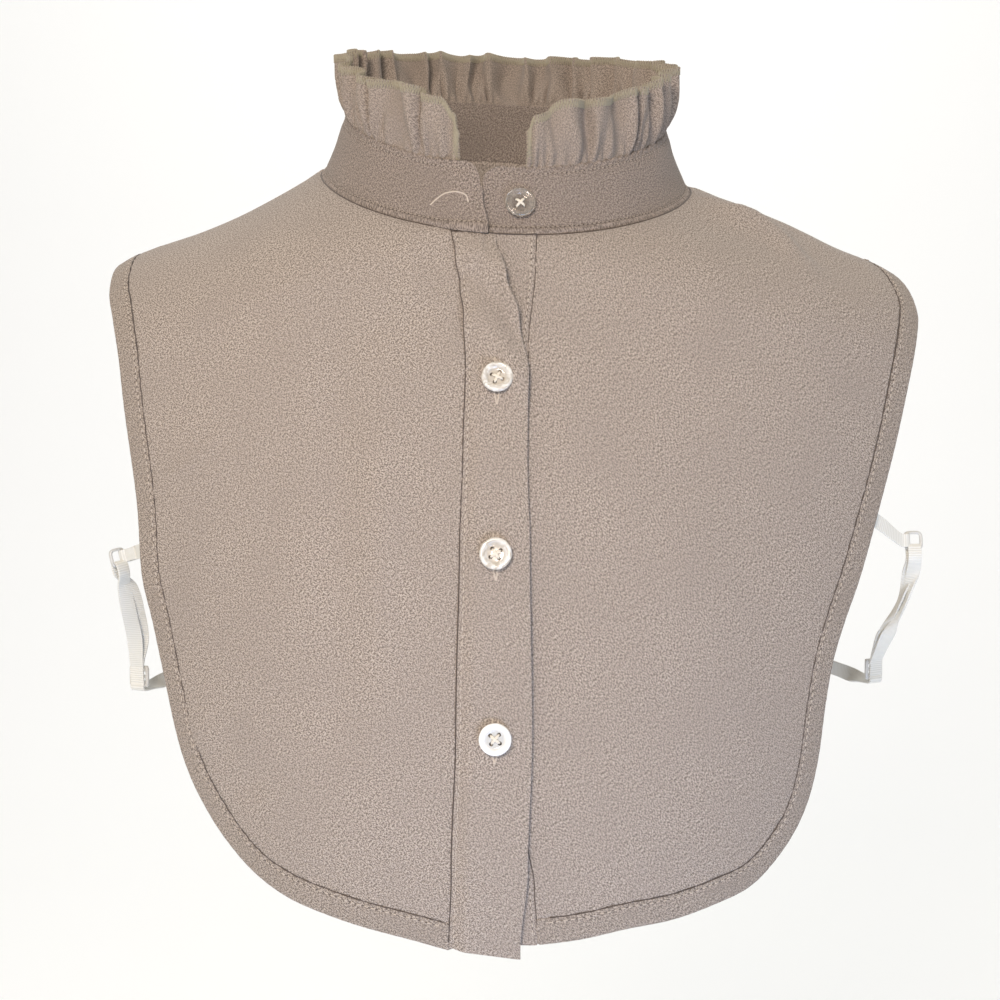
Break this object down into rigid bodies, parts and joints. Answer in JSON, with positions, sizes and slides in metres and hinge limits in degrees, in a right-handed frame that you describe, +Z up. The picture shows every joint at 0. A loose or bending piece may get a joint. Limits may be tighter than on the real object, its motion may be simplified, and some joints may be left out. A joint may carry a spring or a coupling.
{
  "type": "detachable bib collar",
  "caption": "Sleeveless bib front and back with a stand collar, gathered frill, button placket and elastic side straps, in the form it has when worn.",
  "frame": {"origin": "middle of the neck opening, level with where the collar band meets the shoulders", "axes": "+Z up along the neck, -Y towards the front with the placket, +X towards the wearer's left"},
  "size_m": [0.3221, 0.2214, 0.3421],
  "materials": {
    "crepe": "matt woven crepe, taupe",
    "hem_crepe": "matt woven crepe, doubled and topstitched",
    "frill_crepe": "matt woven crepe, gathered, with an overlocked edge",
    "pearl": "moulded pearl-effect plastic",
    "elastic": "ribbed satin elastic",
    "nylon": "moulded white nylon"
  },
  "bodies": {
    "root": {"front_panel": "crepe", "front_panel_under": "crepe", "back_panel": "crepe", "placket": "crepe", "under_placket": "crepe", "hem_left": "hem_crepe", "hem_right": "hem_crepe", "hem_back": "hem_crepe", "collar_band": "crepe", "frill": "frill_crepe", "placket_button_1": "pearl", "placket_button_2": "pearl", "placket_button_3": "pearl", "collar_button": "pearl", "ring_left": "nylon", "slider_left": "nylon", "tab_left": "elastic", "strap_left": "elastic", "back_tab_left": "elastic", "ring_right": "nylon", "slider_right": "nylon", "tab_right": "elastic", "strap_right": "elastic", "back_tab_right": "elastic"}
  },
  "joints": []
}
